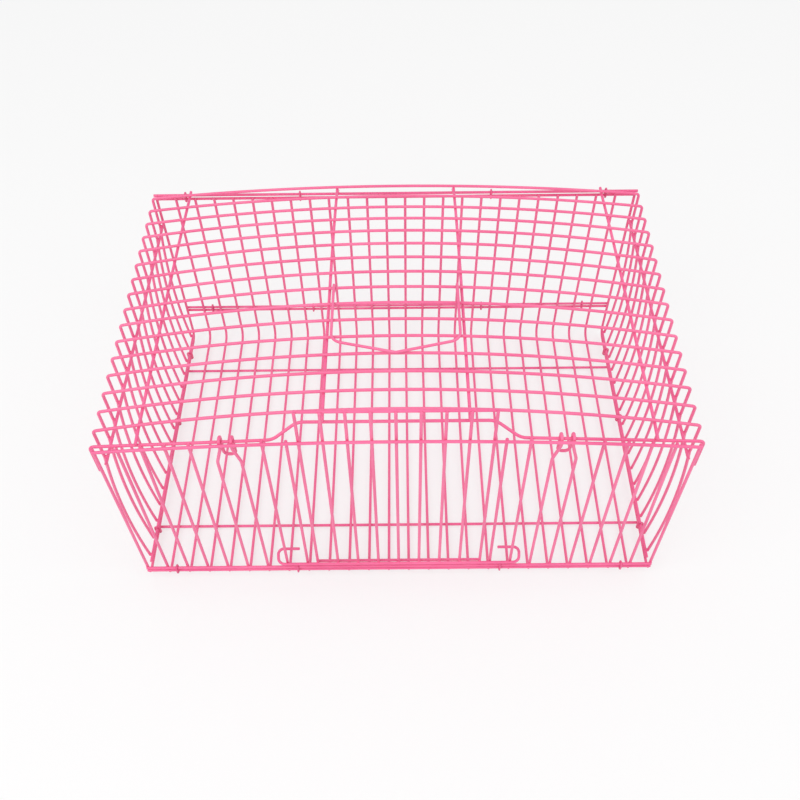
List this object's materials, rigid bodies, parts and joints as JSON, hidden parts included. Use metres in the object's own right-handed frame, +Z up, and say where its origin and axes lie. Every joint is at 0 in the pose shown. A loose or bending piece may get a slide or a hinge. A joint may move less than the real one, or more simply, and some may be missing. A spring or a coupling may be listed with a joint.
{
  "type": "folding_wire_pet_cage",
  "caption": "Folding wire cage for guinea pigs, with a lift-up front door, crowned roof with a carrying handle, and side, back, front and roof panels that turn on ring hinges.",
  "frame": {"origin": "on the ground under the middle of the floor", "axes": "+Z up, +X to the right, -Y to the front with the lift-up door"},
  "size_m": [0.6212, 0.4075, 0.3172],
  "materials": {
    "pink_wire": "coated, satin",
    "pink_rod": "coated, satin",
    "pink_clip": "coated, satin",
    "pink_handle": "coated, satin"
  },
  "bodies": {
    "base": {"floor_wires": "pink_wire", "floor_cross_rods": "pink_rod", "tray_front_rod": "pink_rod", "tray_back_rod": "pink_rod"},
    "left_side": {"left_side_wires": "pink_wire", "left_side_bottom_rod": "pink_rod", "left_side_top_rod": "pink_rod", "left_hinge_rings": "pink_clip"},
    "right_side": {"right_side_wires": "pink_wire", "right_side_bottom_rod": "pink_rod", "right_side_top_rod": "pink_rod", "right_hinge_rings": "pink_clip"},
    "back_panel": {"back_wires": "pink_wire", "back_bottom_rod": "pink_rod", "back_top_rod": "pink_rod", "back_hinge_rings": "pink_clip"},
    "roof": {"roof_wires": "pink_wire", "roof_front_rod": "pink_rod", "roof_back_rod": "pink_rod", "roof_long_rods": "pink_rod", "roof_hinge_rings": "pink_clip"},
    "front_panel": {"front_wires": "pink_wire", "front_bottom_rod": "pink_rod", "front_top_rod": "pink_rod", "front_hinge_rings": "pink_clip", "front_hooks": "pink_wire"},
    "door": {"door_wires": "pink_wire", "door_top_bar": "pink_rod", "door_guide_bar": "pink_rod", "door_bottom_bar": "pink_rod"},
    "handle": {"carry_handle": "pink_handle"}
  },
  "joints": [
    {"name": "left_fold", "type": "hinge", "parent": "base", "child": "left_side", "pos_m": [-0.3, 0, 0.00502], "axis": [0, 1, 0], "range_deg": [0, 80]},
    {"name": "right_fold", "type": "hinge", "parent": "base", "child": "right_side", "pos_m": [0.3, 0, 0.00502], "axis": [0, -1, 0], "range_deg": [0, 80]},
    {"name": "back_fold", "type": "hinge", "parent": "base", "child": "back_panel", "pos_m": [0, 0.19722, 0.056], "axis": [-1, 0, 0], "range_deg": [0, 90]},
    {"name": "roof_lift", "type": "hinge", "parent": "back_panel", "child": "roof", "pos_m": [0, 0.19722, 0.256], "axis": [-1, 0, 0], "range_deg": [0, 90]},
    {"name": "front_drop", "type": "hinge", "parent": "base", "child": "front_panel", "pos_m": [0, -0.19722, 0.018], "axis": [1, 0, 0], "range_deg": [0, 90]},
    {"name": "door_lift", "type": "slide", "parent": "front_panel", "child": "door", "axis": [0, 0, 1], "range_m": [0, 0.2]},
    {"name": "handle_swing", "type": "hinge", "parent": "roof", "child": "handle", "pos_m": [0, -0.004, 0.29425], "axis": [-1, 0, 0], "range_deg": [0, 150]}
  ]
}
